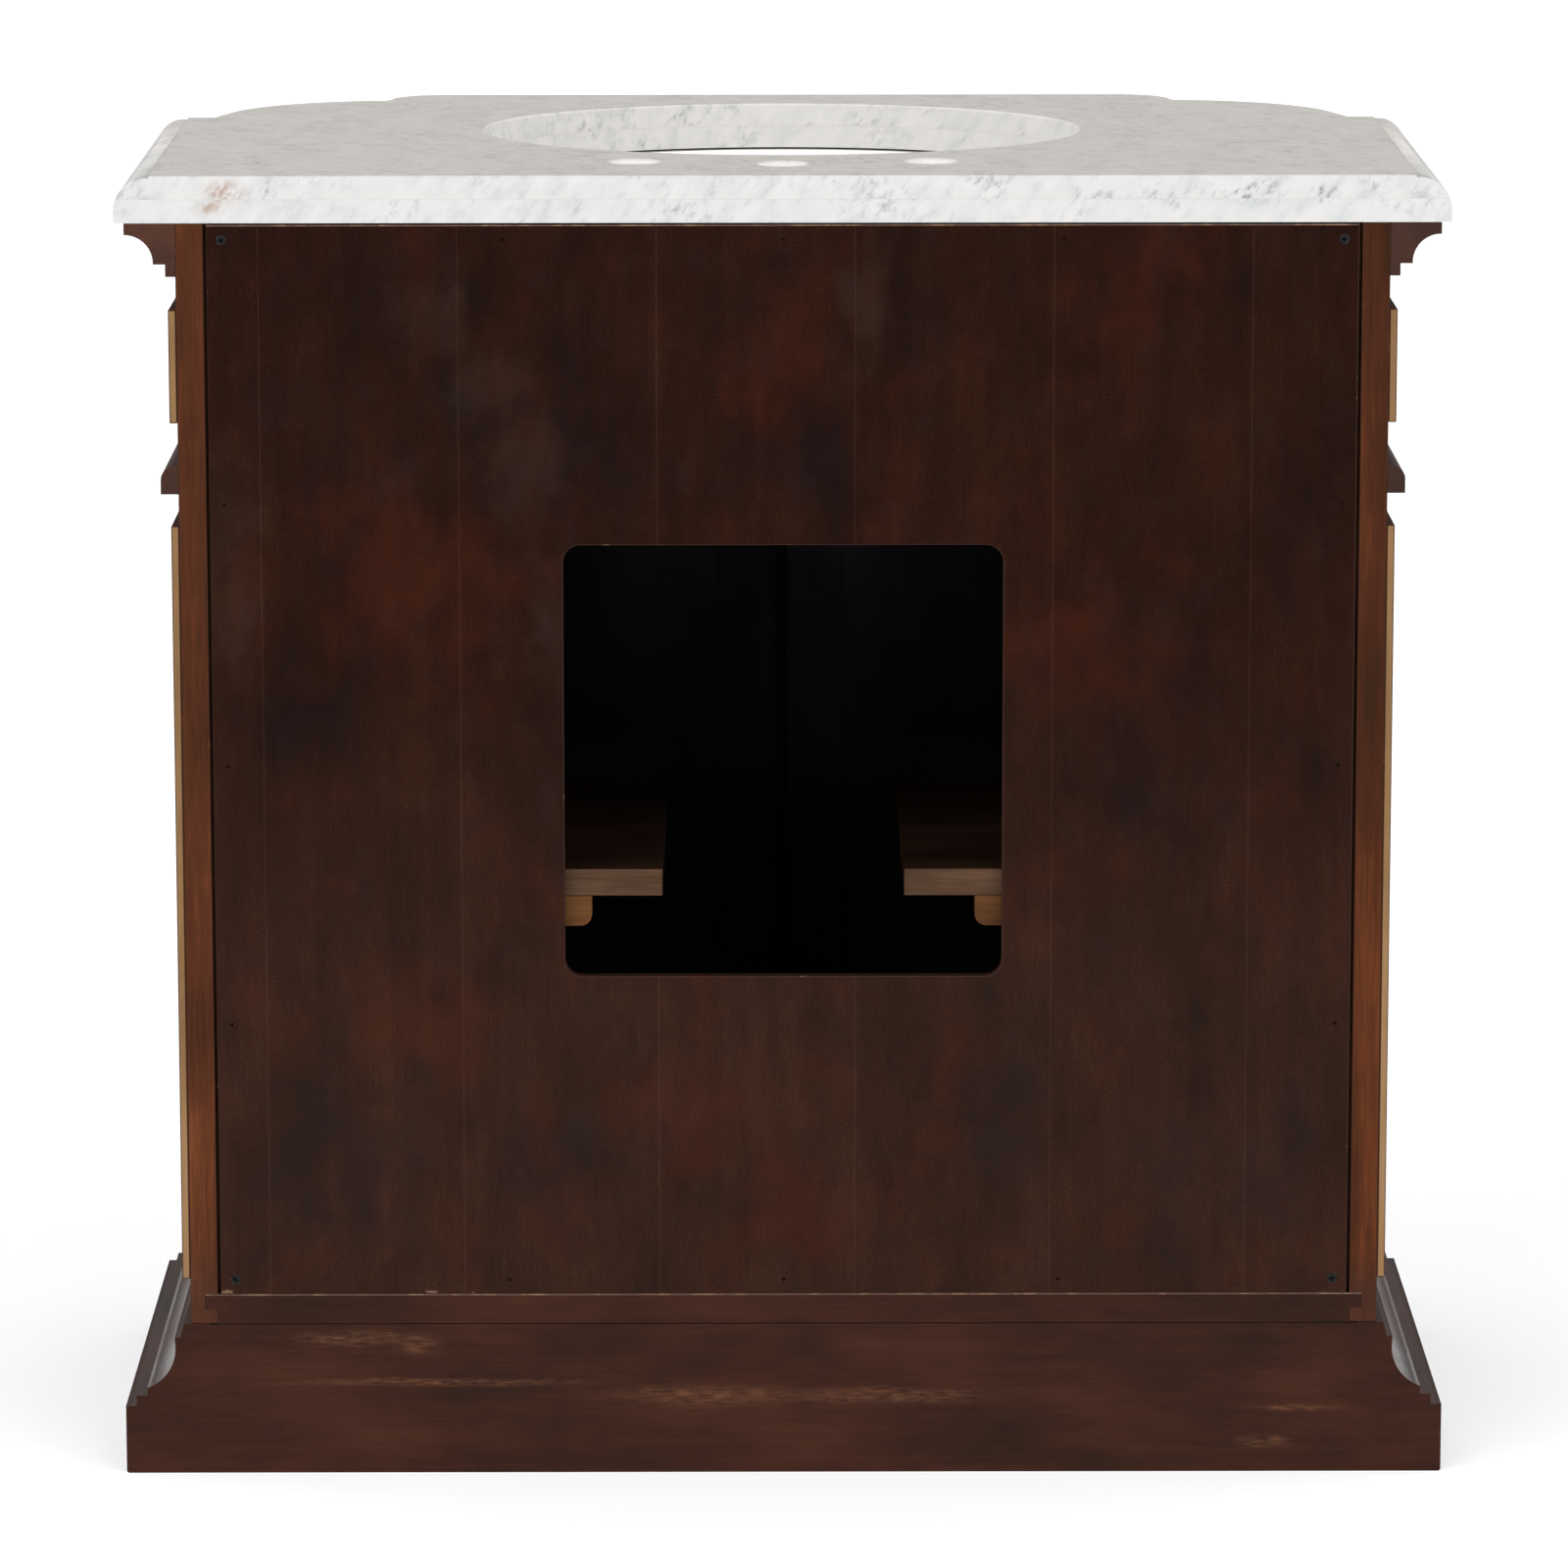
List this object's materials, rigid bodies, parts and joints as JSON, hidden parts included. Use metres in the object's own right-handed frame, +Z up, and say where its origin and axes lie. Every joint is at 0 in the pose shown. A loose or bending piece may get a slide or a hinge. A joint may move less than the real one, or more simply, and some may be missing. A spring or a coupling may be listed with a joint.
{
  "type": "bathroom sink chest",
  "caption": "Dark-stained wooden sink chest with moulded plinth and crown, curved front corners, hinged doors, open-backed plumbing cut-out and a marble top with an oval undermount sink.",
  "frame": {"origin": "on the floor, at the centre of the overall width and depth", "axes": "+X to the right of a person facing the doors, -Y towards the front, +Y towards the wall, +Z up"},
  "size_m": [0.914, 0.576, 0.905],
  "materials": {
    "stained_wood": "dark reddish-brown stain, satin",
    "moulding_wood": "dark reddish-brown stain, satin",
    "back_plywood": "very dark stained veneer, matte",
    "shelf_wood": "dark stain, matte",
    "raw_wood": "bare wood",
    "marble": "polished white and grey marble",
    "sink_ceramic": "white glaze",
    "sealant": "dark sealant",
    "dark_steel": "blackened",
    "clip_steel": "zinc plated",
    "hinge_brass": "aged",
    "knob_bronze": "dark aged"
  },
  "bodies": {
    "chest": {"left_side_panel": "stained_wood", "right_side_panel": "stained_wood", "left_curved_panel": "stained_wood", "right_curved_panel": "stained_wood", "left_front_stile": "stained_wood", "right_front_stile": "stained_wood", "left_frieze_panel": "stained_wood", "right_frieze_panel": "stained_wood", "left_field_panel": "stained_wood", "right_field_panel": "stained_wood", "corner_posts": "stained_wood", "front_frieze_rail": "stained_wood", "front_frieze_panel": "stained_wood", "door_stop": "stained_wood", "plinth_left_board": "moulding_wood", "plinth_right_board": "moulding_wood", "plinth_left_curve": "moulding_wood", "plinth_right_curve": "moulding_wood", "crown_left": "moulding_wood", "crown_right": "moulding_wood", "crown_left_curve": "moulding_wood", "crown_right_curve": "moulding_wood", "waist_left": "moulding_wood", "waist_right": "moulding_wood", "waist_left_curve": "moulding_wood", "waist_right_curve": "moulding_wood", "plinth_front_board": "moulding_wood", "plinth_back_board": "moulding_wood", "crown_front": "moulding_wood", "waist_front": "moulding_wood", "back_panel": "back_plywood", "bottom_panel": "shelf_wood", "left_shelf": "shelf_wood", "right_shelf": "shelf_wood", "back_top_rail": "raw_wood", "back_cleats": "raw_wood", "shelf_cleats": "raw_wood", "marble_top_slab": "marble", "marble_lower_slab": "marble", "marble_edge_strips": "marble", "sink_bowl": "sink_ceramic", "sink_seal": "sealant", "back_panel_screws": "dark_steel", "back_panel_nails": "dark_steel", "sink_clips": "clip_steel", "frame_hinge_leaves": "hinge_brass", "hinge_pins": "hinge_brass", "door_catches": "hinge_brass"},
    "left_door": {"left_door_hinge_stile": "stained_wood", "left_door_meeting_stile": "stained_wood", "left_door_rails": "stained_wood", "left_door_panel": "stained_wood", "left_door_knob": "knob_bronze", "left_door_hinge_leaves": "hinge_brass"},
    "right_door": {"right_door_hinge_stile": "stained_wood", "right_door_meeting_stile": "stained_wood", "right_door_rails": "stained_wood", "right_door_panel": "stained_wood", "right_door_knob": "knob_bronze", "right_door_hinge_leaves": "hinge_brass"}
  },
  "joints": [
    {"name": "left_door_hinge", "type": "hinge", "parent": "chest", "child": "left_door", "pos_m": [-0.2364, -0.2456, 0.402], "axis": [0, 0, -1], "range_deg": [0, 105]},
    {"name": "right_door_hinge", "type": "hinge", "parent": "chest", "child": "right_door", "pos_m": [0.2364, -0.2456, 0.402], "axis": [0, 0, 1], "range_deg": [0, 105]}
  ]
}
